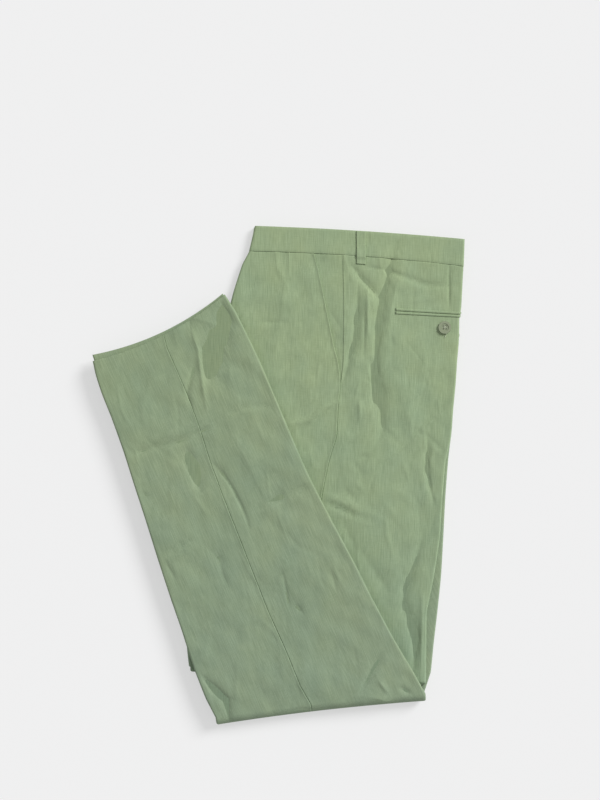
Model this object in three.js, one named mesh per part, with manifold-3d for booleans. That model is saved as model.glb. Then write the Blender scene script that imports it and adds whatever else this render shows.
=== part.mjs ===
// Linen chinos pressed along the leg creases, laid on their right side and folded up at the knee.
// Millimetres. X runs across the legs, Y towards the waist, Z up; the table is at Z = 0.
import * as THREE from 'three';
import Module from 'manifold-3d';

const WALL = 1.2; // one cloth layer with the allowance behind it
const BAND_WALL = 1.8; // doubled cloth of the waistband
const GAP = 0.3; // between neighbouring pieces
const LEG = 5; // height of one flattened leg, both faces
const FOLD_PLANE = 2 * LEG + 1.5 * GAP; // height of the plane the legs are folded about
const FOLD_STEPS = 6; // facets round the knee fold
const ROLL_STEPS = 4; // facets round a crease
const FRONT_LAP = 1.5; // how far cloth goes on past a crease, on the leg's inner face
const CORE_INSET = WALL + GAP + 0.1; // hidden layers below the outer face of the panels
const SLIGHT_BEND = 1e-6;
const FRONT_GROOVE = 7; // depth of the groove between the legs at the front crease

const PART_COLOURS = { cloth: 0x93a482, shade: 0x8a9b7a, button: 0x5d6353 };

// Depth is measured from the fold plane. The left leg is the inner one of the two.
const LEFT_LEG = { face: GAP / 2, inner: GAP / 2 + LEG };
const RIGHT_LEG = { face: FOLD_PLANE, inner: FOLD_PLANE - LEG };

const table = (names, rows) =>
  rows.map((row) => Object.fromEntries(names.map((name, k) => [name, row[k]])));

// Left leg from the waist to its knee fold, one row per section across it. pocketX is where the
// slant pocket's mouth crosses the row, and groove how deep the legs part at the back crease.
const LEFT_UNDER = table(
  ['frontX', 'frontY', 'backX', 'backY', 'bow', 'pocketX', 'seamX', 'groove'],
  [
    [-30, 313.8, 232.5, 297.2, -2, 38.5, 79, 7],
    [-37.4, 282, 231.3, 263, -3.5, 43.5, 79.4, 7],
    [-46, 266, 230.4, 248, -2, 48.4, 79.6, 7],
    [-57, 232, 228.5, 212, 0, 56.4, 80.4, 7],
    [-62, 212, 226.2, 198, 0, 60.1, 80.6, 7],
    [-66, 196, 226, 187, 0, 63, 80.5, 7],
    [-71, 178, 225.5, 170, 0, 66.6, 80.3, 7],
    [-75, 163, 224.6, 158, 0, 69.4, 80.1, 7],
    [-80, 145, 223.3, 144, 0, 74, 80, 7],
    [-85, 118, 221.5, 116, 0, 77, 77, 7],
    [-91, 85, 218.5, 85, 0, 73.7, 73.7, 7],
    [-96, 52, 215.8, 50, 0, 72, 72, 30],
    [-99.5, 20, 209, 18, 0, 62.5, 62.5, 30],
    [-104, -25, 205, -26, 0, 53.5, 53.5, 30],
    [-109, -75, 201.8, -75, 0, 49, 49, 30],
    [-112.5, -125, 194.5, -125, 0, 45.5, 45.5, 30],
    [-115, -170, 185.5, -170, 0, 42.5, 42.5, 30],
    [-116, -208, 184.8, -208, 0, 40, 40, 30],
    [-113, -238, 184, -260, 0, 38, 38, 30],
  ],
);

// Right leg, outer face on the table, from the waist to the last section before its knee fold.
const RIGHT_UNDER = table(
  ['frontX', 'frontY', 'backX', 'backY', 'bow', 'seamX', 'lap'],
  [
    [-31.5, 312.5, 231.5, 295.8, -2, 79, 1.5],
    [-36, 281.5, 230.5, 262.5, -3.5, 79, 1.5],
    [-44.5, 266, 229.8, 248, -2, 79, 1.5],
    [-55, 232, 228, 212, 0, 80, 1.5],
    [-60, 212, 226.4, 198, 0, 80, 1.5],
    [-64, 196, 226, 187, 0, 80, 1.5],
    [-69, 178, 225.8, 170, 0, 80, 1.5],
    [-73, 163, 225, 158, 0, 80, 1.5],
    [-78, 145, 223.3, 144, 0, 79, 1.5],
    [-83, 118, 221.8, 116, 0, 77, 1.5],
    [-88, 85, 218.5, 83, 0, 74, 1.5],
    [-93, 52, 216, 50, 0, 71, 12],
    [-97, 20, 212.5, 20, 0, 66, 20],
    [-101, -25, 209, -26, 0, 61, 24],
    [-104, -75, 206.5, -75, 0, 57, 24],
    [-104, -125, 203.6, -125, 0, 54, 24],
    [-102, -170, 199, -170, 0, 51, 24],
    [-97, -213, 194, -213, 0, 48, 20],
    [-90, -250, 190.5, -247, 0, 45, 12],
  ],
);

// The rows about which each leg turns at the knee.
const RIGHT_FOLD = {
  frontX: -79.2, frontY: -300.6, backX: 182.8, backY: -270.6, bow: -3, seamX: 40, lap: 3,
};
const LEFT_FOLD = {
  frontX: -111, frontY: -239.2, backX: 178, backY: -261.4, bow: 0, seamX: 38, groove: 8,
};

// Both lower legs on the way back up to their hems: the right one on top, the left one inside it.
const RIGHT_OVER = table(
  ['frontX', 'frontY', 'backX', 'backY', 'bow', 'seamX', 'lap'],
  [
    [-91, -278, 168, -244, -1, 27, 3],
    [-107, -237, 141.5, -199, 0, 9.5, 3],
    [-121.8, -191, 115, -149, 0, -12, 3],
    [-134.6, -154, 94.4, -108, 0, -27.5, 3],
    [-151, -104, 65.6, -53.7, 0, -48, 3],
    [-167, -53, 37, 1.9, 0, -69, 3],
    [-181, -10, 15.8, 50.5, 0, -86, 3],
    [-194, 31, -3.5, 96.6, 0, -100, 3],
    [-209, 73, -24, 144.5, 0, -117, 3],
    [-221, 103, -40.4, 178.8, 2, -131, 3],
    [-228.5, 126, -54, 206, 6, -142, 3],
    [-232.5, 144, -67.6, 227.5, 11, -148.5, 3],
    [-235, 151.6, -68.6, 229.9, 12, -150, 3],
  ],
);
const LEFT_OVER = table(
  ['frontX', 'frontY', 'backX', 'backY', 'bow', 'seamX', 'groove'],
  [
    [-113, -229, 163, -240, 0, 30, 8],
    [-113.5, -216, 137, -196, 0, 12, 8],
    [-118, -187, 110, -147, 0, -10, 8],
    [-130, -151, 89, -107, 0, -25, 8],
    [-146, -101, 60.5, -53, 0, -46, 8],
    [-162, -50, 32, 2, 0, -67, 8],
    [-176, -8, 11, 50, 0, -84, 8],
    [-189, 33, -8, 95.5, 0, -98, 8],
    [-204, 74, -28.5, 142.5, 0, -115, 8],
    [-216, 103, -45, 176, 2, -129, 8],
    [-223.5, 125, -58, 202, 6, -140, 8],
    [-228, 141, -71, 221, 11, -146, 8],
    [-230, 145, -73, 224, 12, -148, 8],
  ],
);

// Soft rises in the pile: the seat and fly tucked in at the hips, and the cloth crowding the fold.
const RISES = table(
  ['x', 'y', 'reachX', 'reachY', 'height'],
  [
    [95, 190, 150, 150, 2.8],
    [50, -262, 190, 60, 1.8],
  ],
);

const POCKET_BUTTON = { radius: 7.85, height: 2.2, dish: 0.7, dishRadius: 5, hole: 0.9, spread: 1.7 };
const LEFT_BUTTON_X = 209.1;
const LEFT_BUTTON_Y = 187.5;
const RIGHT_BUTTON_X = 220.6;
const RIGHT_BUTTON_Y = 178.5;
const BUTTON_PLATEAU = 9.5; // radius round the right button over which the cloth rides on it
const BUTTON_FADE = 26; // and the width over which it comes back down

const clamp = (value) => Math.min(1, Math.max(0, value));
const smooth = (value) => clamp(value) ** 2 * (3 - 2 * clamp(value));

function legPath(under, fold, over) {
  const round = Array.from({ length: FOLD_STEPS + 1 }, (_, k) => ({ ...fold, turn: k / FOLD_STEPS }));
  return [
    ...under.map((row) => ({ ...row, turn: 0 })),
    ...round,
    ...over.map((row) => ({ ...row, turn: 1 })),
  ];
}

const LEFT_PATH = legPath(LEFT_UNDER, LEFT_FOLD, LEFT_OVER);
const RIGHT_PATH = legPath(RIGHT_UNDER, RIGHT_FOLD, RIGHT_OVER);
const KNEE = LEFT_UNDER.length - 1;
const HEM = RIGHT_PATH.length - 2;

// The section at a place between two rows of a path.
function sectionAt(path, place) {
  const first = Math.min(Math.floor(place), path.length - 2);
  const share = place - first;
  const names = Object.keys(path[first]).filter((name) => name in path[first + 1] || share === 0);
  const mix = (a, b) => (share === 0 ? a : a * (1 - share) + b * share);
  return Object.fromEntries(names.map((name) => [name, mix(path[first][name], path[first + 1][name])]));
}

function frameOf(section) {
  const width = Math.hypot(section.backX - section.frontX, section.backY - section.frontY);
  const alongX = (section.backX - section.frontX) / width;
  const alongY = (section.backY - section.frontY) / width;
  return { width, alongX, alongY };
}

const acrossAt = (section, x) => (x - section.frontX) / frameOf(section).alongX;

function riseAt(x, y) {
  return RISES.reduce((sum, rise) => {
    const off = Math.hypot((x - rise.x) / rise.reachX, (y - rise.y) / rise.reachY);
    return sum + rise.height * smooth(1 - off);
  }, 0);
}

function buttonLift(x, y) {
  const off = Math.hypot(x - RIGHT_BUTTON_X, y - RIGHT_BUTTON_Y);
  return (POCKET_BUTTON.height + 1.5 * GAP) * smooth(1 - (off - BUTTON_PLATEAU) / BUTTON_FADE);
}

// A point of the pile, from its section, how far across it lies and how deep from the fold plane.
function pointAt(section, across, depth) {
  const { width, alongX, alongY } = frameOf(section);
  const share = across / width;
  const angle = Math.PI * section.turn;
  const out = section.bow * 4 * share * (1 - share) + depth * Math.sin(angle);
  const x = section.frontX + alongX * across + alongY * out;
  const y = section.frontY + alongY * across - alongX * out;
  const off = clamp((FOLD_PLANE - CORE_INSET - depth) / 2);
  const above = off + (1 - off) * (1 - Math.cos(angle)) / 2;
  const lift = section.turn === 0 ? buttonLift(x, y) * clamp((depth - 2) / 6) : 0;
  return [x, y, FOLD_PLANE - depth * Math.cos(angle) + riseAt(x, y) * above + lift];
}

function meshFrom(name, positions, index, colour) {
  const geometry = new THREE.BufferGeometry();
  geometry.setAttribute('position', new THREE.Float32BufferAttribute(positions.flat(), 3));
  geometry.setIndex(index);
  const material = new THREE.MeshStandardMaterial({ color: colour, roughness: 0.9, metalness: 0 });
  const mesh = new THREE.Mesh(geometry, material);
  mesh.name = name;
  return mesh;
}

// Triangles over the end of a layer, whose outline goes out along one side and back on the other.
function layerCap(outline) {
  const last = outline.length - 1;
  const faces = [];
  for (let k = 0; k < outline.length / 2 - 1; k += 1) {
    faces.push([k, k + 1, last - k - 1], [k, last - k - 1, last - k]);
  }
  return faces;
}

// The same for any outline. A slight bend keeps every point of a straight edge in the result.
function outlineCap(outline) {
  const bent = outline.map(
    ([across, depth]) => new THREE.Vector2(across, depth + across * across * SLIGHT_BEND));
  const turned = THREE.ShapeUtils.isClockWise(bent);
  const order = bent.map((_, k) => (turned ? bent.length - 1 - k : k));
  const faces = THREE.ShapeUtils.triangulateShape(order.map((k) => bent[k]), []);
  const placed = faces.map((face) => face.map((k) => order[k]));
  return turned ? placed.map((face) => face.reverse()) : placed;
}

function facesOutward(positions, index) {
  let volume = 0;
  for (let k = 0; k < index.length; k += 3) {
    const [a, b, c] = [0, 1, 2].map((j) => new THREE.Vector3(...positions[index[k + j]]));
    volume += a.dot(b.cross(c));
  }
  return volume > 0;
}

// A closed body through rings of points that all have the same count.
function loft(name, rings, outlines, colour, capOf = layerCap) {
  const count = rings[0].length;
  const index = [];
  for (let ring = 0; ring + 1 < rings.length; ring += 1) {
    for (let k = 0; k < count; k += 1) {
      const a = ring * count + k;
      const b = ring * count + ((k + 1) % count);
      index.push(a, b, b + count, a, b + count, a + count);
    }
  }
  const last = (rings.length - 1) * count;
  for (const [a, b, c] of capOf(outlines[0])) index.push(a, c, b);
  for (const [a, b, c] of capOf(outlines.at(-1))) index.push(last + a, last + b, last + c);
  const positions = rings.flat();
  if (!facesOutward(positions, index)) index.reverse();
  return meshFrom(name, positions, index, colour);
}

// Points down one side of a flattened leg, as distance in from the crease and depth: out along the
// outer face from `from`, round the crease, and back by `lap` on the inner face, or only half-way
// round the crease if lap is null. Inset is inward.
function creaseRun(leg, inset, from, lap, steps) {
  const middle = (leg.face + leg.inner) / 2;
  const outward = Math.sign(leg.face - middle);
  const half = LEG / 2;
  const flat = steps.map((share) => [from + (half - from) * share, middle + outward * (half - inset)]);
  const turns = lap === null ? ROLL_STEPS / 2 : ROLL_STEPS;
  const roll = Array.from({ length: turns }, (_, k) => {
    const angle = (Math.PI * (k + 1)) / ROLL_STEPS;
    const radius = half - inset;
    return [half - radius * Math.sin(angle), middle + outward * radius * Math.cos(angle)];
  });
  const end = lap === null ? [] : [[half + lap, middle - outward * (half - inset)]];
  return [...flat, ...roll, ...end];
}

const FRONT_COLUMNS = [0, 0.2, 0.4, 0.6, 0.8, 1];
const BACK_COLUMNS = [0, 0.25, 0.5, 0.75, 0.92, 1];

const fromEdge = (run, side, width) =>
  run.map(([distance, depth]) => [side === 'back' ? width - distance : distance, depth]);

// A panel: cloth between two insets, from `from(section)` across the leg to round its crease.
function panel(name, leg, path, side, places, from, lap, insets, colour = PART_COLOURS.cloth) {
  const columns = side === 'back' ? BACK_COLUMNS : FRONT_COLUMNS;
  const outlines = [];
  const rings = places.map((place) => {
    const section = sectionAt(path, place);
    const { width } = frameOf(section);
    const start = side === 'back' ? width - from(section) : from(section);
    const runs = insets.map((inset) =>
      fromEdge(creaseRun(leg, inset, start, lap(section), columns), side, width));
    const outline = [...runs[0], ...runs[1].reverse()];
    outlines.push(outline);
    return outline.map(([across, depth]) => pointAt(section, across, depth));
  });
  return loft(name, rings, outlines, colour);
}

// A flat piece between two places across the leg, with a [top, bottom] depth for each section.
function patch(name, path, places, spans, depths, colour = PART_COLOURS.cloth) {
  const outlines = [];
  const rings = places.map((place, k) => {
    const section = sectionAt(path, place);
    const [start, end] = spans(section);
    const [top, bottom] = depths[k] ?? depths[0];
    const outline = [[start, top], [end, top], [end, bottom], [start, bottom]];
    outlines.push(outline);
    return outline.map(([across, depth]) => pointAt(section, across, depth));
  });
  return loft(name, rings, outlines, colour);
}

// A band all across a leg, round both creases.
function band(name, leg, path, places, insets) {
  const outlines = [];
  const rings = places.map((place) => {
    const section = sectionAt(path, place);
    const { width } = frameOf(section);
    const runs = insets.map((inset) => {
      const half = width / 2;
      const front = fromEdge(creaseRun(leg, inset, half, FRONT_LAP, FRONT_COLUMNS), 'front', width);
      const back = fromEdge(creaseRun(leg, inset, half, FRONT_LAP, BACK_COLUMNS), 'back', width);
      return [...front.reverse(), ...back.slice(1)];
    });
    const outline = [...runs[0], ...runs[1].reverse()];
    outlines.push(outline);
    return outline.map(([across, depth]) => pointAt(section, across, depth));
  });
  return loft(name, rings, outlines, PART_COLOURS.cloth);
}

// One half of the outline of the hidden layers, from the groove at the front crease, over a leg's
// outer face to the groove at the back crease.
function coreRun(leg, section, inset, grooves) {
  const { width } = frameOf(section);
  const seam = acrossAt(section, section.seamX);
  const front = creaseRun(leg, inset, seam, grooves[0] - LEG / 2, FRONT_COLUMNS);
  const back = creaseRun(leg, inset, width - seam, grooves[1] - LEG / 2, BACK_COLUMNS);
  return [...fromEdge(front, 'front', width).reverse(), ...fromEdge(back, 'back', width).slice(1)];
}

// The hidden layers follow both legs: place along the pile, and inset from each leg's outer face.
function hiddenLayers(rows) {
  const outlines = [];
  const rings = rows.map(({ place, left, right }) => {
    const inner = sectionAt(LEFT_PATH, place);
    const outer = sectionAt(RIGHT_PATH, place);
    const setBack = Math.max(0, outer.frontX - inner.frontX);
    const leftRun = coreRun(LEFT_LEG, inner, left, [FRONT_GROOVE + setBack, inner.groove]);
    const rightRun = coreRun(RIGHT_LEG, outer, right, [FRONT_GROOVE, LEG / 2 + outer.lap + 1]);
    outlines.push([...leftRun, ...rightRun.slice().reverse()]);
    return [
      ...leftRun.map(([across, depth]) => pointAt(inner, across, depth)),
      ...rightRun.map(([across, depth]) => pointAt(outer, across, depth)).reverse(),
    ];
  });
  return loft('hidden_layers', rings, outlines, PART_COLOURS.shade, outlineCap);
}

const { Manifold } = await Module().then((wasm) => {
  wasm.setup();
  return wasm;
});

// A dished button with four holes, its back at the given height.
function button(name, x, y, z) {
  const { radius, height, dish, dishRadius, hole, spread } = POCKET_BUTTON;
  const holes = [[1, 1], [1, -1], [-1, 1], [-1, -1]].map(([a, b]) =>
    Manifold.cylinder(3 * height, hole, hole, 8).translate([a * spread, b * spread, -height]));
  const body = Manifold.cylinder(height, radius, radius, 32)
    .subtract(Manifold.cylinder(height, dishRadius, dishRadius, 24).translate([0, 0, height - dish]))
    .subtract(Manifold.union(holes))
    .translate([x, y, z]);
  const { numProp, vertProperties, triVerts } = body.getMesh();
  const positions = [];
  for (let k = 0; k < vertProperties.length; k += numProp) {
    positions.push([vertProperties[k], vertProperties[k + 1], vertProperties[k + 2]]);
  }
  return meshFrom(name, positions, [...triVerts], PART_COLOURS.button);
}

const span = (from, to) => Array.from({ length: to - from + 1 }, (_, k) => from + k);
const BAND_END = 0.994;
const PANEL_START = 1.01;
const THIGH = [PANEL_START, ...span(2, KNEE)];
const WHOLE_LEG = [PANEL_START, ...span(2, HEM)];
const PROUD = -0.3; // the waistband stands a little above the panels

const shortLap = () => FRONT_LAP;
const atSeam = (gap) => (section) => acrossAt(section, section.seamX) + gap;
const atPocket = (gap) => (section) => acrossAt(section, section.pocketX) + gap;

const BAND_INSET = BAND_WALL + GAP;
const coreRows = [
  ...[0.05, 0.98].map((place) => ({ place, left: BAND_INSET, right: BAND_INSET })),
  ...[1.1, ...span(2, KNEE)].map((place) => ({ place, left: CORE_INSET, right: CORE_INSET })),
  ...[...span(KNEE + 1, HEM - 1), HEM - 0.1].map((place) => ({ place, left: 0, right: CORE_INSET })),
];

const loopSpan = (section) => [acrossAt(section, 96.9), acrossAt(section, 108.1)];
const BUTTON_BACK = FOLD_PLANE + riseAt(LEFT_BUTTON_X, LEFT_BUTTON_Y) + GAP / 2;
const weltStart = (section) => acrossAt(section, 146);
const weltInsets = [-1.4, -GAP];

const chinos = new THREE.Group();
chinos.name = 'linen_chinos';
chinos.add(
  panel('left_front', LEFT_LEG, LEFT_PATH, 'front', THIGH, atPocket(-GAP / 2), shortLap, [0, WALL]),
  panel('left_back', LEFT_LEG, LEFT_PATH, 'back', THIGH, atSeam(GAP / 2), shortLap, [0, WALL]),
  patch('pocket_facing', LEFT_PATH, [PANEL_START, ...span(2, 8), 8.6],
    (section) => [atPocket(GAP / 2)(section), atSeam(-GAP / 2)(section)], [[0.4, 1.4]]),
  band('waistband_left', LEFT_LEG, LEFT_PATH, [0, 0.5, BAND_END], [PROUD, BAND_WALL + PROUD]),
  band('waistband_right', RIGHT_LEG, RIGHT_PATH, [0, 0.5, BAND_END], [0, BAND_WALL]),
  patch('belt_loop', LEFT_PATH, [0.02, 0.5, BAND_END, PANEL_START + 0.02, 1.56], loopSpan,
    [[-1.75, -0.5], [-1.75, -0.5], [-1.75, -0.5], [-1.6, -0.2], [-1.4, -0.2]]),
  panel('welt_upper', LEFT_LEG, LEFT_PATH, 'back', [3.38, 3.6], weltStart, () => null, weltInsets),
  panel('welt_lower', LEFT_LEG, LEFT_PATH, 'back', [3.69, 3.9], weltStart, () => null, weltInsets),
  button('pocket_button_left', LEFT_BUTTON_X, LEFT_BUTTON_Y, BUTTON_BACK),
  button('pocket_button_right', RIGHT_BUTTON_X, RIGHT_BUTTON_Y, 0),
  panel('right_front', RIGHT_LEG, RIGHT_PATH, 'front', WHOLE_LEG, atSeam(-GAP / 2), shortLap,
    [0, WALL]),
  panel('right_back', RIGHT_LEG, RIGHT_PATH, 'back', WHOLE_LEG, atSeam(GAP / 2),
    (section) => section.lap, [0, WALL]),
  hiddenLayers(coreRows),
);

// The middle of the outline goes to the origin.
const box = new THREE.Box3().setFromObject(chinos);
for (const mesh of chinos.children) {
  mesh.geometry.translate(-(box.min.x + box.max.x) / 2, -(box.min.y + box.max.y) / 2, 0);
}

export default chinos;
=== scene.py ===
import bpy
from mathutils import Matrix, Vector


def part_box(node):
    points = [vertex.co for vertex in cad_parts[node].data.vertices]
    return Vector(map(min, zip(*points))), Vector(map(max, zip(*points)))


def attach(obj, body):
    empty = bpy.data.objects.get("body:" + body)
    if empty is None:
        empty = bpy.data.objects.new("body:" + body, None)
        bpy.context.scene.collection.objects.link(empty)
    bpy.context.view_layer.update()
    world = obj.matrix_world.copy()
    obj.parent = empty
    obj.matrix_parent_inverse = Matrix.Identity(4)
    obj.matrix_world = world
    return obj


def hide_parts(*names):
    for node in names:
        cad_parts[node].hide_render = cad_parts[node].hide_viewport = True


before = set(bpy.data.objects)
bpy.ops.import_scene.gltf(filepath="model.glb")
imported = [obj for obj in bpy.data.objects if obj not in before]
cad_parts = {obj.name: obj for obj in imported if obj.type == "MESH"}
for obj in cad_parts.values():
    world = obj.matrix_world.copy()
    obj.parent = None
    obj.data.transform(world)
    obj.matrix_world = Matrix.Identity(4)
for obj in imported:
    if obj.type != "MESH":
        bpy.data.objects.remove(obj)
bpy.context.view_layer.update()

import math

import bpy
import numpy as np
from mathutils import Vector

# --- The pile -------------------------------------------------------------------------------
# Two flattened linen legs, one inside the other, folded up at the knee. Every piece is placed by
# its section along the legs, how far across it lies and its depth from the fold plane.
MM = 0.001
LEG = 5.0
FOLD_PLANE = 10.45
CENTRE = (-1.55, 0.55)
LEFT_FACE, RIGHT_FACE = (0.15, 5.15), (FOLD_PLANE, FOLD_PLANE - LEG)
LEFT_UNDER = [  # frontX, frontY, backX, backY, bow, pocketX, seamX, groove
    (-30, 313.8, 232.5, 297.2, -2, 38.5, 79, 7),
    (-37.4, 282, 231.3, 263, -3.5, 43.5, 79.4, 7),
    (-46, 266, 230.4, 248, -2, 48.4, 79.6, 7),
    (-57, 232, 228.5, 212, 0, 56.4, 80.4, 7),
    (-62, 212, 226.2, 198, 0, 60.1, 80.6, 7),
    (-66, 196, 226, 187, 0, 63, 80.5, 7),
    (-71, 178, 225.5, 170, 0, 66.6, 80.3, 7),
    (-75, 163, 224.6, 158, 0, 69.4, 80.1, 7),
    (-80, 145, 223.3, 144, 0, 74, 80, 7),
    (-85, 118, 221.5, 116, 0, 77, 77, 7),
    (-91, 85, 218.5, 85, 0, 73.7, 73.7, 7),
    (-96, 52, 215.8, 50, 0, 72, 72, 30),
    (-99.5, 20, 209, 18, 0, 62.5, 62.5, 30),
    (-104, -25, 205, -26, 0, 53.5, 53.5, 30),
    (-109, -75, 201.8, -75, 0, 49, 49, 30),
    (-112.5, -125, 194.5, -125, 0, 45.5, 45.5, 30),
    (-115, -170, 185.5, -170, 0, 42.5, 42.5, 30),
    (-116, -208, 184.8, -208, 0, 40, 40, 30),
    (-113, -238, 184, -260, 0, 38, 38, 30),
]
RIGHT_UNDER = [  # frontX, frontY, backX, backY, bow, seamX, lap
    (-31.5, 312.5, 231.5, 295.8, -2, 79, 1.5),
    (-36, 281.5, 230.5, 262.5, -3.5, 79, 1.5),
    (-44.5, 266, 229.8, 248, -2, 79, 1.5),
    (-55, 232, 228, 212, 0, 80, 1.5),
    (-60, 212, 226.4, 198, 0, 80, 1.5),
    (-64, 196, 226, 187, 0, 80, 1.5),
    (-69, 178, 225.8, 170, 0, 80, 1.5),
    (-73, 163, 225, 158, 0, 80, 1.5),
    (-78, 145, 223.3, 144, 0, 79, 1.5),
    (-83, 118, 221.8, 116, 0, 77, 1.5),
    (-88, 85, 218.5, 83, 0, 74, 1.5),
    (-93, 52, 216, 50, 0, 71, 12),
    (-97, 20, 212.5, 20, 0, 66, 20),
    (-101, -25, 209, -26, 0, 61, 24),
    (-104, -75, 206.5, -75, 0, 57, 24),
    (-104, -125, 203.6, -125, 0, 54, 24),
    (-102, -170, 199, -170, 0, 51, 24),
    (-97, -213, 194, -213, 0, 48, 20),
    (-90, -250, 190.5, -247, 0, 45, 12),
]
RIGHT_FOLD = (-79.2, -300.6, 182.8, -270.6, -3, 40, 3)
LEFT_FOLD = (-111, -239.2, 178, -261.4, 0, 38, 38, 8)
RIGHT_OVER = [  # frontX, frontY, backX, backY, bow, seamX, lap
    (-91, -278, 168, -244, -1, 27, 3),
    (-107, -237, 141.5, -199, 0, 9.5, 3),
    (-121.8, -191, 115, -149, 0, -12, 3),
    (-134.6, -154, 94.4, -108, 0, -27.5, 3),
    (-151, -104, 65.6, -53.7, 0, -48, 3),
    (-167, -53, 37, 1.9, 0, -69, 3),
    (-181, -10, 15.8, 50.5, 0, -86, 3),
    (-194, 31, -3.5, 96.6, 0, -100, 3),
    (-209, 73, -24, 144.5, 0, -117, 3),
    (-221, 103, -40.4, 178.8, 2, -131, 3),
    (-228.5, 126, -54, 206, 6, -142, 3),
    (-232.5, 144, -67.6, 227.5, 11, -148.5, 3),
    (-235, 151.6, -68.6, 229.9, 12, -150, 3),
]
LEFT_OVER = [  # frontX, frontY, backX, backY, bow, seamX (twice), groove
    (-113, -229, 163, -240, 0, 30, 30, 8),
    (-113.5, -216, 137, -196, 0, 12, 12, 8),
    (-118, -187, 110, -147, 0, -10, -10, 8),
    (-130, -151, 89, -107, 0, -25, -25, 8),
    (-146, -101, 60.5, -53, 0, -46, -46, 8),
    (-162, -50, 32, 2, 0, -67, -67, 8),
    (-176, -8, 11, 50, 0, -84, -84, 8),
    (-189, 33, -8, 95.5, 0, -98, -98, 8),
    (-204, 74, -28.5, 142.5, 0, -115, -115, 8),
    (-216, 103, -45, 176, 2, -129, -129, 8),
    (-223.5, 125, -58, 202, 6, -140, -140, 8),
    (-228, 141, -71, 221, 11, -146, -146, 8),
    (-230, 145, -73, 224, 12, -148, -148, 8),
]
RISES = [(95, 190, 150, 150, 2.8), (50, -262, 190, 60, 1.8)]  # x, y, reachX, reachY, height
FOLD_STEPS = 6
SEAM = 0.02  # between panels that meet at a seam
DEEPEST = -2.2  # the furthest a crease may sink towards the cloth below
KNEE = len(LEFT_UNDER) - 1
HEM = len(RIGHT_UNDER) + FOLD_STEPS + len(RIGHT_OVER) - 1


def leg_path(under, fold, over):
    """Rows along a leg as an array, with the turn (0 under the fold, 1 over it) as last column."""
    turning = [(*fold, k / FOLD_STEPS) for k in range(FOLD_STEPS + 1)]
    return np.array(
        [(*row, 0.0) for row in under] + turning + [(*row, 1.0) for row in over], float
    )


LEFT = leg_path(LEFT_UNDER, LEFT_FOLD, LEFT_OVER)
RIGHT = leg_path(RIGHT_UNDER, RIGHT_FOLD, RIGHT_OVER)


def section_at(path, place):
    """Rows of the path at the places, an array. The tables are joined by smooth curves."""
    k = np.clip(np.floor(place).astype(int), 0, len(path) - 2)
    t = (place - k)[:, None]
    p1, p2 = path[k], path[k + 1]
    p0, p3 = path[np.maximum(k - 1, 0)], path[np.minimum(k + 2, len(path) - 1)]
    straight = p1 * (1 - t) + p2 * t
    curved = 0.5 * (
        2 * p1 + (p2 - p0) * t + (2 * p0 - 5 * p1 + 4 * p2 - p3) * t**2
        + (3 * p1 - p0 - 3 * p2 + p3) * t**3
    )
    even = np.abs(p3[:, -1] - p0[:, -1]) + (k < 2) * 1.0 + (k > len(path) - 3) * 1.0
    out = np.where(even[:, None] > 0, straight, 0.45 * straight + 0.55 * curved)
    out[:, -1] = straight[:, -1]
    return out


def smooth(x):
    """0 up to 0 and 1 from 1 on, with an even slope between."""
    x = np.clip(x, 0, 1)
    return x * x * (3 - 2 * x)


def rise_at(x, y):
    """How much the seat tucked inside, and the crowding at the fold, lift the pile, in mm."""
    total = np.zeros_like(x)
    for rx, ry, wide, long, height in RISES:
        total += height * smooth(1 - np.hypot((x - rx) / wide, (y - ry) / long))
    return total


def points_at(section, across, depth):
    """Points of the pile in mm: section rows (n, c), across and depth (n, m). Returns (n, m, 3)."""
    fx, fy, bx, by, bow, turn = (section[:, c][:, None] for c in (0, 1, 2, 3, 4, -1))
    width = np.hypot(bx - fx, by - fy)
    ux, uy = (bx - fx) / width, (by - fy) / width
    share = across / width
    angle = math.pi * turn
    out = bow * 4 * share * (1 - share) + depth * np.sin(angle)
    x = fx + ux * across + uy * out
    y = fy + uy * across - ux * out
    off = np.clip((FOLD_PLANE - 1.6 - depth) / 2, 0, 1)
    above = off + (1 - off) * (1 - np.cos(angle)) / 2
    z = FOLD_PLANE - depth * np.cos(angle) + rise_at(x, y) * above
    return np.stack([x, y, z], -1)


def across_at(section, x):
    """Distance across each section at which it reaches x."""
    width = np.hypot(section[:, 2] - section[:, 0], section[:, 3] - section[:, 1])
    return (x - section[:, 0]) / ((section[:, 2] - section[:, 0]) / width)


# --- The linen ------------------------------------------------------------------------------
# Sage green plain-woven linen, matt, with slubs along the leg and a faint uneven dye.
def srgb(r, g, b):
    return tuple(
        (c / 255 / 12.92 if c / 255 <= 0.04045 else ((c / 255 + 0.055) / 1.055) ** 2.4)
        for c in (r, g, b)
    ) + (1.0,)


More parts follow.
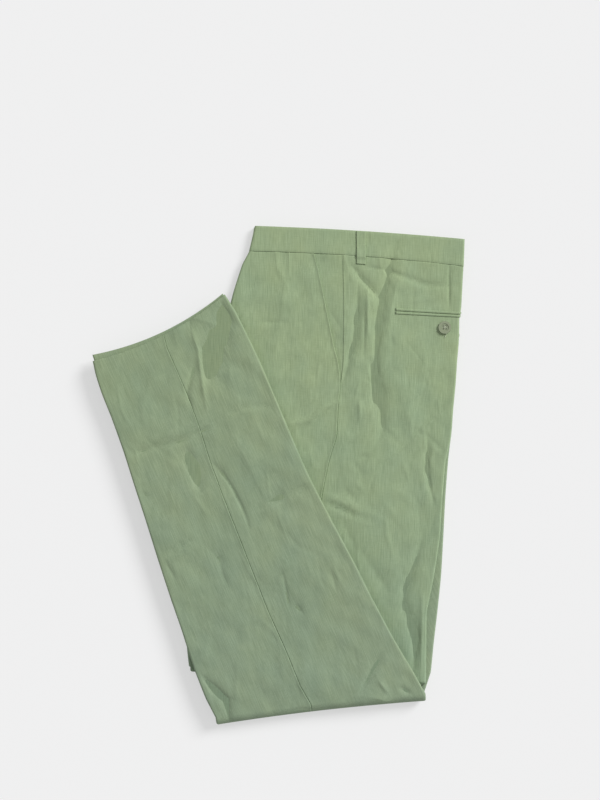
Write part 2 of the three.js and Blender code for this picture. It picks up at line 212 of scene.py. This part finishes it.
def linen(name, colour, grain_angle=0.0, knee_shade=(0.83, 0.87, 0.96, 1)):
    """A matt cloth whose warp runs at the angle, in degrees, from +Y, with painted shade, darker and
    cooler, towards the knee.
    """
    mat = bpy.data.materials.new(name)
    mat.use_nodes = True
    nodes, links = mat.node_tree.nodes, mat.node_tree.links
    shader = nodes["Principled BSDF"]
    shader.inputs["Roughness"].default_value = 0.92
    shader.inputs["Specular IOR Level"].default_value = 0.18
    shader.inputs["Sheen Weight"].default_value = 0.08
    shader.inputs["Sheen Roughness"].default_value = 0.5
    where = nodes.new("ShaderNodeTexCoord")
    turned = nodes.new("ShaderNodeMapping")
    turned.inputs["Rotation"].default_value = (0, 0, math.radians(grain_angle))
    links.new(where.outputs["Object"], turned.inputs["Vector"])

    def noise(scale, stretch, detail=3.0):
        squeezed = nodes.new("ShaderNodeMapping")
        squeezed.inputs["Scale"].default_value = stretch
        links.new(turned.outputs["Vector"], squeezed.inputs["Vector"])
        tex = nodes.new("ShaderNodeTexNoise")
        tex.inputs["Scale"].default_value = scale
        tex.inputs["Detail"].default_value = detail
        links.new(squeezed.outputs["Vector"], tex.inputs["Vector"])
        return tex.outputs["Fac"]

    def mix(a, b, factor):
        node = nodes.new("ShaderNodeMix")
        node.data_type = "RGBA"
        node.blend_type = "MULTIPLY"
        node.inputs["Factor"].default_value = factor
        links.new(a, node.inputs["A"])
        links.new(b, node.inputs["B"])
        return node.outputs["Result"]

    def ramp(fac, low, high, start=0.3, end=0.7):
        node = nodes.new("ShaderNodeValToRGB")
        node.color_ramp.elements[0].position = start
        node.color_ramp.elements[1].position = end
        node.color_ramp.elements[0].color = low
        node.color_ramp.elements[1].color = high
        links.new(fac, node.inputs["Fac"])
        return node.outputs["Color"]

    base = nodes.new("ShaderNodeRGB")
    base.outputs[0].default_value = colour
    warp = noise(1300, (1.0, 0.035, 1.0), 4.0)
    weft = noise(1500, (0.07, 1.0, 1.0), 3.0)
    dye = noise(28, (1.0, 0.7, 1.0), 5.0)
    blotch = noise(9, (1.0, 1.0, 1.0), 3.0)
    tone = mix(base.outputs[0], ramp(warp, (0.80, 0.82, 0.79, 1), (1.14, 1.13, 1.13, 1)), 0.75)
    tone = mix(tone, ramp(weft, (0.92, 0.93, 0.92, 1), (1.06, 1.05, 1.06, 1)), 0.6)
    tone = mix(tone, ramp(dye, (0.95, 0.97, 1.0, 1), (1.05, 1.03, 0.98, 1)), 0.8)
    tone = mix(tone, ramp(blotch, (0.95, 0.97, 0.98, 1), (1.05, 1.03, 1.01, 1)), 0.7)
    # painted shade: the cloth is made a little darker and cooler towards the knee, at the bottom of
    # the pile
    height = nodes.new("ShaderNodeSeparateXYZ")
    links.new(where.outputs["Object"], height.inputs["Vector"])
    shade_span = nodes.new("ShaderNodeMapRange")
    shade_span.inputs["From Min"].default_value = -0.25
    shade_span.inputs["From Max"].default_value = 0.25
    links.new(height.outputs["Y"], shade_span.inputs["Value"])
    tone = mix(tone, ramp(shade_span.outputs["Result"], knee_shade, (1, 1, 1, 1), 0.0, 0.8), 1.0)
    links.new(tone, shader.inputs["Base Color"])
    rough = nodes.new("ShaderNodeMath")
    rough.operation = "ADD"
    links.new(warp, rough.inputs[0])
    links.new(weft, rough.inputs[1])
    bump = nodes.new("ShaderNodeBump")
    bump.inputs["Strength"].default_value = 0.35
    bump.inputs["Distance"].default_value = 0.0004
    links.new(rough.outputs[0], bump.inputs["Height"])
    links.new(bump.outputs["Normal"], shader.inputs["Normal"])
    return mat


linen_upper = linen("linen_upper", srgb(156, 174, 138), 0)
# painted shade: the right leg takes a darker copy of the same linen, with a lighter shade of its own
# towards the knee
linen_lower_shaded = linen("linen_lower_shaded", srgb(146, 163, 132), -23, (0.93, 0.94, 1.01, 1))
# painted shade: the core folded inside takes a still darker copy, for the shade at its edges
linen_inside_shaded = linen("linen_inside_shaded", srgb(140, 157, 124), 0)

# --- Creases --------------------------------------------------------------------------------
# Soft troughs (negative) and ridges set one by one on each leg: polyline, width and height in mm.
THIGH_CREASES = [
    ([(147.5, 292), (142.5, 277), (137.5, 260.6), (135, 243), (130, 227), (126, 202),
      (122.5, 170.6), (120, 133), (118.8, 89)], 11, -1.9),
    ([(155, 262), (148, 240), (141, 215), (136, 180)], 10, 0.6),
    ([(112, 150), (127.5, 108), (130, 58), (122.5, 39)], 15, -1.5),
    ([(98.8, 239), (96, 170.6), (91, 158), (82.5, 127), (76, 110.6)], 10, -1.4),
    ([(91, 263), (104, 248), (126, 222)], 11, -1.5),
    ([(111, 239), (111, 177)], 7, 0.9),
    ([(101, 96), (101, 71)], 6, 0.7),
    ([(107.5, 208), (106, 148)], 3.5, -0.5),
    ([(107.5, 263), (139, 257), (164, 247), (182.5, 240.6), (201, 238), (227.5, 240.6)], 8, -0.9),
    ([(160, 218), (207.5, 225.6)], 6, 0.4),
    ([(126, 10.6), (145, 27), (164, 45.6), (182.5, 64), (204, 85.6)], 7, -0.9),
    ([(186, 45.6), (185, 8), (189, -10.6), (194, -32)], 8, -1.4),
    ([(53.8, -32), (76, -40.6), (95, -49), (120, -55.6)], 5, -1.2),
    ([(58, -24), (80, -32), (100, -40)], 6, 0.9),
    ([(80, -17), (97.5, -29.4)], 5, -0.7),
    ([(95, 23), (114, 25.6)], 4, -0.5),
    ([(13.8, 65.6), (38.8, 70.6), (57.5, 87), (73.8, 93)], 8, 1.1),
    ([(-26, 193), (7.5, 193)], 8, -0.4),
    ([(179, -79), (170, -110.6), (157.5, -142), (155, -173)], 12, -1.5),
    ([(157.5, -160), (171, -204), (167.5, -245)], 13, -1.9),
    ([(180, -150), (179, -204), (179, -250)], 7, 1.2),
    ([(213, 268), (213, 240), (213, 210)], 3.0, -0.8),
    ([(10, 250), (0, 180), (-10, 120)], 26, 0.5),
    ([(165, 120), (160, 60)], 22, 0.6),
    ([(100, -90), (140, -150)], 16, -0.6),
]
SHIN_CREASES = [
    ([(-190, 27), (-161, 34), (-124, 44), (-102.5, 53), (-84, 62), (-70, 74)], 5, -1.2),
    ([(-70, 74), (-49, 87), (-21, 88), (-5, 85.6)], 6, -0.8),
    ([(-160, 46), (-118, 58), (-92, 74)], 7, 0.7),
    ([(-71, 226), (-69, 183), (-82.5, 158), (-89, 120)], 26, -2.2),
    ([(-105, 139), (-115, 105.6), (-107.5, 80.6)], 7, -1.1),
    ([(-109, 183), (-101, 158), (-96, 120), (-90, 83)], 8, 1.2),
    ([(-114, 34), (-107.5, 8), (-98, -20)], 18, -1.6),
    ([(-86, 20.6), (-69, 2), (-59, -13), (-49, -33), (-42.5, -47), (-36, -67)], 5, -0.9),
    ([(-145, -98), (-130, -90.6), (-107.5, -75.6)], 6, -1.0),
    ([(-145, -108), (-128, -101), (-106, -86)], 6, 0.8),
    ([(-30, -42), (-17.5, -33), (1, -25.6), (26, -17), (45, -9)], 6, -1.1),
    ([(-28, -52), (0, -36), (40, -20)], 7, 0.6),
    ([(-142.5, -104), (-129, -129)], 6, -0.7),
    ([(-111, -225.6), (-99, -218)], 5, -0.8),
    ([(-99, -248), (-82.5, -263), (-66, -279), (-62.5, -304)], 10, -1.9),
    ([(132.5, -217), (120, -235.6), (111, -252), (101, -269)], 6, -1.3),
    ([(124, -254), (136, -269)], 7, 1.0),
    ([(150, -262), (164, -270.6)], 8, -1.2),
    ([(4, -117), (9, -142), (12.5, -162)], 4, -0.6),
    ([(20, -160), (30, -170)], 6, -0.8),
    ([(-76, -95.6), (-70, -123), (-60, -142)], 8, -0.5),
    ([(64, -117), (72, -142)], 6, -0.5),
    ([(-160, 120), (-170, 90), (-168, 60)], 18, 0.7),
    ([(-60, 60), (-30, 0), (0, -60)], 20, 0.5),
]


def crease_height(x, y, creases):
    """Sum of all creases at the points. Each fades along its last fifth at both ends."""
    total = np.zeros_like(x)
    for line, width, height in creases:
        line = np.array(line, float)
        steps = np.hypot(*np.diff(line, axis=0).T)
        run = np.concatenate([[0], np.cumsum(steps)])
        best = np.full(x.shape, 1e9)
        along = np.zeros_like(x)
        for k, (a, b) in enumerate(zip(line[:-1], line[1:])):
            d = b - a
            t = np.clip(((x - a[0]) * d[0] + (y - a[1]) * d[1]) / (d @ d), 0, 1)
            off = np.hypot(x - a[0] - t * d[0], y - a[1] - t * d[1])
            near = off < best
            best = np.where(near, off, best)
            along = np.where(near, (run[k] + t * steps[k]) / run[-1], along)
        fade = np.sin(math.pi * np.clip(0.04 + 0.92 * along, 0, 1)) ** 0.7
        sharp = np.exp(-((best / (0.42 * width)) ** 1.25))
        total += height * fade * sharp
    return total


def rumples(seed, count, low, high, lean):
    """Short shallow creases scattered over a box in mm, most of them near the lean, in degrees."""
    rng = np.random.default_rng(seed)
    lines = []
    for _ in range(count):
        x, y = rng.uniform(low[0], high[0]), rng.uniform(low[1], high[1])
        angle = math.radians(90 + lean + rng.normal(0, 32))
        length, bend = rng.uniform(18, 60), rng.normal(0, 0.25)
        a = (x, y)
        b = (x + 0.5 * length * math.cos(angle), y + 0.5 * length * math.sin(angle))
        turned = angle + bend
        c = (b[0] + 0.5 * length * math.cos(turned), b[1] + 0.5 * length * math.sin(turned))
        width, way = rng.uniform(3, 8), rng.choice([-1, 1])
        lines.append(([a, b, c], width, way * rng.uniform(0.12, 0.38)))
    return lines


THIGH_CREASES += rumples(11, 70, (-60, -260), (220, 260), 4)
THIGH_CREASES += rumples(12, 36, (90, -200), (215, 120), 8)
SHIN_CREASES += rumples(13, 110, (-220, -300), (150, 200), 23)


def wander(x, y, seed, size, height):
    """A slow uneven swell made of a few crossed waves."""
    rng = np.random.default_rng(seed)
    total = np.zeros_like(x)
    for _ in range(7):
        angle, phase, stretch = rng.uniform(0, math.pi), rng.uniform(0, 6.3), rng.uniform(0.6, 1.6)
        total += np.sin(
            (x * math.cos(angle) + y * math.sin(angle)) * 2 * math.pi / (size * stretch) + phase
        )
    return total * height / 3.5


def relief(x, y, over):
    """Height added to a leg's outer face: creases, a slow swell, and a fine rumple."""
    lines = SHIN_CREASES if over else THIGH_CREASES
    seed = 5 if over else 3
    return (
        2.0 * crease_height(x, y, lines)
        + wander(x, y, seed, 95, 0.9)
        + wander(x, y, seed + 20, 34, 0.42)
        + wander(x, y, seed + 40, 13, 0.1)
    )


def crease_run(leg, inset, start, lap, columns, roll_steps):
    """(distance in from the crease, depth) along one side of a leg, for n sections: (n, m) each."""
    face, inner = leg
    middle, outward, half = (face + inner) / 2, np.sign(face - inner), LEG / 2
    n = len(start)
    flat = start[:, None] + (half - start[:, None]) * columns
    angle = np.linspace(0, math.pi, roll_steps + 1)[1:]
    radius = half - inset
    roll = np.broadcast_to(half - radius * np.sin(angle), (n, roll_steps))
    laps = half + lap[:, None] * np.linspace(0, 1, 5)[1:]
    distance = np.concatenate([flat, roll, laps], 1)
    depth = np.concatenate(
        [
            np.full(flat.shape[1], middle + outward * radius),
            middle + outward * radius * np.cos(angle),
            np.full(4, middle - outward * radius),
        ]
    )
    return distance, np.broadcast_to(depth, (n, len(depth)))


def shell(name, outer, inner, material):
    """A closed thin sheet from two grids of points in mm, (n, m, 3) each, faces outward."""
    n, m, _ = outer.shape
    verts = np.concatenate([outer.reshape(-1, 3), inner.reshape(-1, 3)])
    verts[:, :2] -= CENTRE
    k = np.arange(n * m).reshape(n, m)
    a, b, c, d = k[:-1, :-1], k[1:, :-1], k[1:, 1:], k[:-1, 1:]
    top = np.stack([a, b, c, d], -1).reshape(-1, 4)
    low = np.stack([a, d, c, b], -1).reshape(-1, 4) + n * m
    ring = np.concatenate([k[0, :-1], k[:-1, -1], k[-1, :0:-1], k[:0:-1, 0]])
    after = np.roll(ring, -1)
    rim = np.stack([ring, after, after + n * m, ring + n * m], -1)
    faces = np.concatenate([top, low, rim])
    mesh = bpy.data.meshes.new(name)
    mesh.from_pydata((verts * MM).tolist(), [], faces.tolist())
    p, q, r, t = (verts[faces[:, corner]] for corner in range(4))
    volume = np.sum(p * (np.cross(q, r) + np.cross(r, t)))
    if volume < 0:
        mesh.flip_normals()
    mesh.polygons.foreach_set("use_smooth", [True] * len(faces))
    mesh.materials.append(material)
    mesh.update()
    piece = bpy.data.objects.new(name, mesh)
    bpy.context.scene.collection.objects.link(piece)
    return piece


def keep(piece, node):
    """The piece rides on the one body and stands for the CAD node."""
    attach(piece, "root")
    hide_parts(node)
    return piece


def panel(name, leg, path, side, places, start_column, gap, lap, insets, material, columns,
          lip=0.0):
    """Cloth on a leg's outer face, from the seam in that column of the table to round its crease.

    The lip is how far its seam edge stands up, in mm."""
    section = section_at(path, places)
    width = np.hypot(section[:, 2] - section[:, 0], section[:, 3] - section[:, 1])
    seam = across_at(section, section[:, start_column])
    start = (width - seam if side == "back" else seam) - gap
    cols = np.linspace(0, 1, columns)
    grids = []
    for inset in insets:
        distance, depth = crease_run(leg, inset, start, lap(section), cols, 10)
        across = width[:, None] - distance if side == "back" else distance
        points = points_at(section, across, depth)
        outward = np.sign(leg[0] - leg[1])
        top = np.cos(math.pi * section[:, -1])[:, None] * -outward
        above_middle = (depth - (leg[0] + leg[1]) / 2) * outward
        facing = np.clip(above_middle / (LEG / 2 - inset + 1e-6), 0, 1)
        fade = facing * np.clip((distance - 0.5) / 9, 0.15, 1) * np.clip(top, 0, 1)
        lift = relief(points[..., 0], points[..., 1], leg is RIGHT_FACE)
        points[..., 2] += fade * np.maximum(lift, DEEPEST)
        edge = np.exp(-(((start[:, None] - distance) / 2.2) ** 2)) * facing
        points[..., 2] += edge * lip * np.clip(top, 0, 1)
        grids.append(points)
    return shell(name, grids[0], grids[1], material)


# --- Left leg -------------------------------------------------------------------------------
# The thigh of the left leg: linen front and back panels joined at the side seam, the pocket's
# facing behind the slant mouth, each a single layer pressed over its crease.
def places(first, last, per_row):
    return np.linspace(first, last, int((last - first) * per_row) + 1)


one_lap = lambda section: np.full(len(section), 1.5)
left_front = keep(
    panel("left_front_cloth", LEFT_FACE, LEFT, "front", places(1.002, KNEE, 13), 5, SEAM, one_lap,
          (0, 1.0), linen_upper, 120, 0.8), "left_front")
left_back = keep(
    panel("left_back_cloth", LEFT_FACE, LEFT, "back", places(1.002, KNEE, 13), 6, SEAM, one_lap,
          (0, 1.0), linen_upper, 120, 0.1), "left_back")


def strip(name, path, rows, low, high, top, bottom, columns, material, relieve=True):
    """A flat strip across a leg between two distances, at depths top and bottom for each row."""
    section = section_at(path, rows)
    a, b = low(section), high(section)
    across = a[:, None] + (b - a)[:, None] * np.linspace(0, 1, columns)
    grids = []
    for depth in (top, bottom):
        depth = np.broadcast_to(depth, across.shape)
        points = points_at(section, across, depth)
        if relieve:
            lift = relief(points[..., 0], points[..., 1], False)
            points[..., 2] += np.maximum(lift, DEEPEST)
        grids.append(points)
    return shell(name, grids[0], grids[1], material)


facing_rows = places(1.002, 8.9, 12)
sunk = 0.15 + smooth((facing_rows - 1.0) / 0.6)[:, None] * np.linspace(0.9, 0.05, 30)
facing = keep(
    strip("pocket_facing_cloth", LEFT, facing_rows,
          lambda s: across_at(s, s[:, 5]) - 1.5, lambda s: across_at(s, s[:, 6]) + 0.5,
          sunk, sunk + 0.7, 30, linen_upper),
    "pocket_facing")


# --- Waistband ------------------------------------------------------------------------------
# A plain doubled strip of linen round the waist, folded at both creases; one half on top and
# the other on the table. It stands a little above the panels.
def waistband(name, leg, path, insets, node, relieve):
    rows = places(0, 0.998, 40)
    section = section_at(path, rows)
    width = np.hypot(section[:, 2] - section[:, 0], section[:, 3] - section[:, 1])
    grids = []
    for inset in insets:
        runs = []
        for side in ("front", "back"):
            distance, depth = crease_run(
                leg, inset, width / 2, one_lap(section), np.linspace(0, 1, 70), 10)
            across = width[:, None] - distance if side == "back" else distance
            runs.append((across, depth))
        across = np.concatenate([runs[0][0][:, ::-1], runs[1][0][:, 1:]], 1)
        depth = np.concatenate([runs[0][1][:, ::-1], runs[1][1][:, 1:]], 1)
        points = points_at(section, across, depth)
        if relieve:
            facing_up = np.clip(((leg[0] + leg[1]) / 2 - depth) / 2.5, 0, 1)
            soft = 0.6 * relief(points[..., 0], points[..., 1], False)
            edge = np.minimum(rows, 0.998 - rows)[:, None] * 32
            puff = 0.35 * smooth(edge / 3)
            points[..., 2] += facing_up * (soft + puff)
        grids.append(points)
    return keep(shell(name, grids[0], grids[1], linen_upper), node)


band_left = waistband("waistband_left_cloth", LEFT_FACE, LEFT, (-0.3, 1.5), "waistband_left", True)
band_right = waistband("waistband_right_cloth", RIGHT_FACE, RIGHT, (0, 1.8), "waistband_right", False)

# --- Belt loop and welts --------------------------------------------------------------------
# A narrow folded linen strip sewn over the waistband, and the two lips of the back pocket,
# which run round the back crease.
loop_rows = places(0.02, 1.56, 40)
loop_depth = np.where(loop_rows < 1.0, -1.9, -1.9 + 0.9 * smooth((loop_rows - 1.0) / 0.3))[:, None]
loop = keep(
    strip("belt_loop_cloth", LEFT, loop_rows, lambda s: across_at(s, np.full(len(s), 96.9)),
          lambda s: across_at(s, np.full(len(s), 108.1)), loop_depth, loop_depth + 1.3, 16,
          linen_upper), "belt_loop")
for name, first, last in (("welt_upper", 3.38, 3.6), ("welt_lower", 3.69, 3.9)):
    section_rows = np.linspace(first, last, 9)
    section = section_at(LEFT, section_rows)
    width = np.hypot(section[:, 2] - section[:, 0], section[:, 3] - section[:, 1])
    start = width - across_at(section, np.full(len(section), 146.0))
    grids = []
    for inset in (-1.1, -0.1):
        distance, depth = crease_run(LEFT_FACE, inset, start, np.zeros(9), np.linspace(0, 1, 60), 8)
        distance, depth = distance[:, :64], depth[:, :64]
        points = points_at(section, width[:, None] - distance, depth)
        up = np.clip((distance - 0.5) / 9, 0.15, 1)
        lift = relief(points[..., 0], points[..., 1], False)
        points[..., 2] += up * np.maximum(lift, DEEPEST)
        round_off = 0.35 * (1 - np.sin(np.linspace(0, math.pi, 9)))[:, None]
        points[..., 2] -= round_off if inset < -1 else 0
        grids.append(points)
    welt = keep(shell(f"{name}_cloth", grids[0], grids[1], linen_upper), name)

# --- Right leg ------------------------------------------------------------------------------
# Outer face on the table, round the knee fold and back over the top to its hem: linen front
# and back panels joined at the side seam.
leg_places = places(1.002, HEM, 13)
table_lap = lambda section: section[:, 6]
# painted shade: both panels wear the darker copy of the linen
right_front = keep(
    panel("right_front_cloth", RIGHT_FACE, RIGHT, "front", leg_places, 5, SEAM, one_lap,
          (0, 1.0), linen_lower_shaded, 84, 0.45), "right_front")
right_back = keep(
    panel("right_back_cloth", RIGHT_FACE, RIGHT, "back", leg_places, 5, SEAM, table_lap,
          (0, 1.0), linen_lower_shaded, 84, 0.1), "right_back")

# --- Hidden layers --------------------------------------------------------------------------
# Everything folded inside, as one soft core that shows only at its edges, and the inside of the
# right hem, which reaches past the top layer.
core_places = np.concatenate([np.linspace(0.05, 1.0, 6), places(1.1, HEM - 0.1, 5)])
left_rows, right_rows = section_at(LEFT, core_places), section_at(RIGHT, core_places)


def core_run(leg, section, inset, front_groove, back_groove):
    width = np.hypot(section[:, 2] - section[:, 0], section[:, 3] - section[:, 1])
    across, depth = [], []
    for side, groove in (("front", front_groove), ("back", back_groove)):
        runs = [
            crease_run(leg, inset[k], width[k : k + 1] / 2, groove[k : k + 1] - LEG / 2,
                       np.linspace(0, 1, 24), 8) for k in range(len(section))
        ]
        distance = np.concatenate([r[0] for r in runs])
        deep = np.concatenate([r[1] for r in runs])
        a = width[:, None] - distance if side == "back" else distance
        across.append(a if side == "back" else a[:, ::-1])
        depth.append(deep if side == "back" else deep[:, ::-1])
    join = lambda pair: np.concatenate([pair[0], pair[1][:, 1:]], 1)
    return points_at(section, join(across), join(depth))


set_back = np.maximum(0, right_rows[:, 0] - left_rows[:, 0])
left_inset = np.where(core_places < 1, 2.3, np.where(core_places <= KNEE, 1.9, 0.05))
right_inset = np.where(core_places < 1, 2.2, 1.6)
inner_half = core_run(LEFT_FACE, left_rows, left_inset, 7 + set_back, left_rows[:, 7])
outer_half = core_run(RIGHT_FACE, right_rows, right_inset, np.full(len(core_places), 7.0),
                      LEG / 2 + right_rows[:, 6] + 1)
# painted shade: the core wears the darkest copy of the linen, for the shade it shows at its edges
core = keep(shell("folded_inside", inner_half, outer_half, linen_inside_shaded), "hidden_layers")

hem_rows = places(HEM - 0.9, HEM + 1, 30)
# painted shade: the hem's inside wears the darker copy of the linen too
hem_under = keep(
    strip("hem_inside_cloth", RIGHT, hem_rows, lambda s: np.full(len(s), 2.0),
          lambda s: np.hypot(s[:, 2] - s[:, 0], s[:, 3] - s[:, 1]) - 2.0, 7.4, 6.4, 90,
          linen_lower_shaded, False), "hidden_layers")

# --- Buttons --------------------------------------------------------------------------------
# Resin buttons with four holes, dished, sewn with light thread; the right one shows only its rim.
resin = bpy.data.materials.new("button_resin")
resin.use_nodes = True
resin.node_tree.nodes["Principled BSDF"].inputs["Base Color"].default_value = srgb(146, 156, 128)
resin.node_tree.nodes["Principled BSDF"].inputs["Roughness"].default_value = 0.42
for node in ("pocket_button_left", "pocket_button_right"):
    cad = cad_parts[node]
    cad.data.materials.clear()
    cad.data.materials.append(resin)

# Two crossed threads through the four holes, and the tail of the thread below.
cotton = bpy.data.materials.new("sewing_thread")
cotton.use_nodes = True
cotton.node_tree.nodes["Principled BSDF"].inputs["Base Color"].default_value = srgb(196, 204, 180)
cotton.node_tree.nodes["Principled BSDF"].inputs["Roughness"].default_value = 0.8
low, high = (np.array(corner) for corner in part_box("pocket_button_left"))
middle, top = (low + high) / 2, high[2]
thread_curve = bpy.data.curves.new("button_thread", "CURVE")
thread_curve.dimensions = "3D"
thread_curve.bevel_depth = 0.0003
thread_lines = [
    [(-1.7, -1.7, -1.2), (-1.6, -1.6, -0.55), (0, 0, -0.2), (1.6, 1.6, -0.55), (1.7, 1.7, -1.2)],
    [(-1.7, 1.7, -1.2), (-1.6, 1.6, -0.55), (0, 0, -0.4), (1.6, -1.6, -0.55), (1.7, -1.7, -1.2)],
    [(2.2, -7.6, -1.9), (1.6, -10.0, -1.7), (0.2, -12.6, -1.8)],
]
for line in thread_lines:
    spline = thread_curve.splines.new("POLY")
    spline.points.add(len(line) - 1)
    for point, (x, y, z) in zip(spline.points, line):
        point.co = (middle[0] + x * MM, middle[1] + y * MM, top + z * MM, 1)
thread_source = bpy.data.objects.new("button_thread_path", thread_curve)
bpy.context.scene.collection.objects.link(thread_source)
bpy.context.view_layer.update()
thread_mesh = bpy.data.meshes.new_from_object(thread_source.evaluated_get(
    bpy.context.evaluated_depsgraph_get()))
bpy.data.objects.remove(thread_source)
thread_mesh.materials.clear()
thread_mesh.materials.append(cotton)
thread = bpy.data.objects.new("button_thread", thread_mesh)
bpy.context.scene.collection.objects.link(thread)
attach(thread, "root")

# --- Table, light and camera ----------------------------------------------------------------
# A white table under soft light from the upper right, seen from straight above. Most of the
# table's white is its own, so that the shadow on it stays faint.
floor_mesh = bpy.data.meshes.new("floor")
floor_mesh.from_pydata([(-3, -3, 0), (3, -3, 0), (3, 3, 0), (-3, 3, 0)], [], [(0, 1, 2, 3)])
floor = bpy.data.objects.new("floor", floor_mesh)
bpy.context.scene.collection.objects.link(floor)
paint = bpy.data.materials.new("white_table")
paint.use_nodes = True
paint.node_tree.nodes["Principled BSDF"].inputs["Base Color"].default_value = (0.94, 0.94, 0.945, 1)
paint.node_tree.nodes["Principled BSDF"].inputs["Roughness"].default_value = 0.9
paint.node_tree.nodes["Principled BSDF"].inputs["Specular IOR Level"].default_value = 0.1
tree = paint.node_tree
glow = tree.nodes.new("ShaderNodeEmission")
glow.inputs["Color"].default_value = (0.877, 0.877, 0.877, 1)
seen = tree.nodes.new("ShaderNodeLightPath")
share = tree.nodes.new("ShaderNodeMath")
share.operation = "MULTIPLY"
share.inputs[1].default_value = 0.6
tree.links.new(seen.outputs["Is Camera Ray"], share.inputs[0])
blend = tree.nodes.new("ShaderNodeMixShader")
tree.links.new(share.outputs[0], blend.inputs[0])
tree.links.new(tree.nodes["Principled BSDF"].outputs[0], blend.inputs[1])
tree.links.new(glow.outputs[0], blend.inputs[2])
tree.links.new(blend.outputs[0], tree.nodes["Material Output"].inputs["Surface"])
floor_mesh.materials.append(paint)

world = bpy.data.worlds.new("sky")
bpy.context.scene.world = world
world.use_nodes = True
world.node_tree.nodes["Background"].inputs["Color"].default_value = (1, 1, 1, 1)
world.node_tree.nodes["Background"].inputs["Strength"].default_value = 0.40


# The key is a wide low sun, so that the creases shade evenly all over the table.
key_data = bpy.data.lights.new("key", "SUN")
key_data.energy = 2.9
key_data.angle = 0.42
key = bpy.data.objects.new("key", key_data)
key.rotation_euler = Vector((1.0, 0.8, 0.85)).to_track_quat("Z", "Y").to_euler()
bpy.context.scene.collection.objects.link(key)

camera_data = bpy.data.cameras.new("camera")
camera_data.sensor_width = 36
camera_data.lens = 79.2
camera = bpy.data.objects.new("camera", camera_data)
camera.location = (0.02625 - CENTRE[0] * MM, 0.0956 - CENTRE[1] * MM, 2.215)
bpy.context.scene.collection.objects.link(camera)
bpy.context.scene.camera = camera
bpy.context.scene.view_settings.view_transform = "Standard"
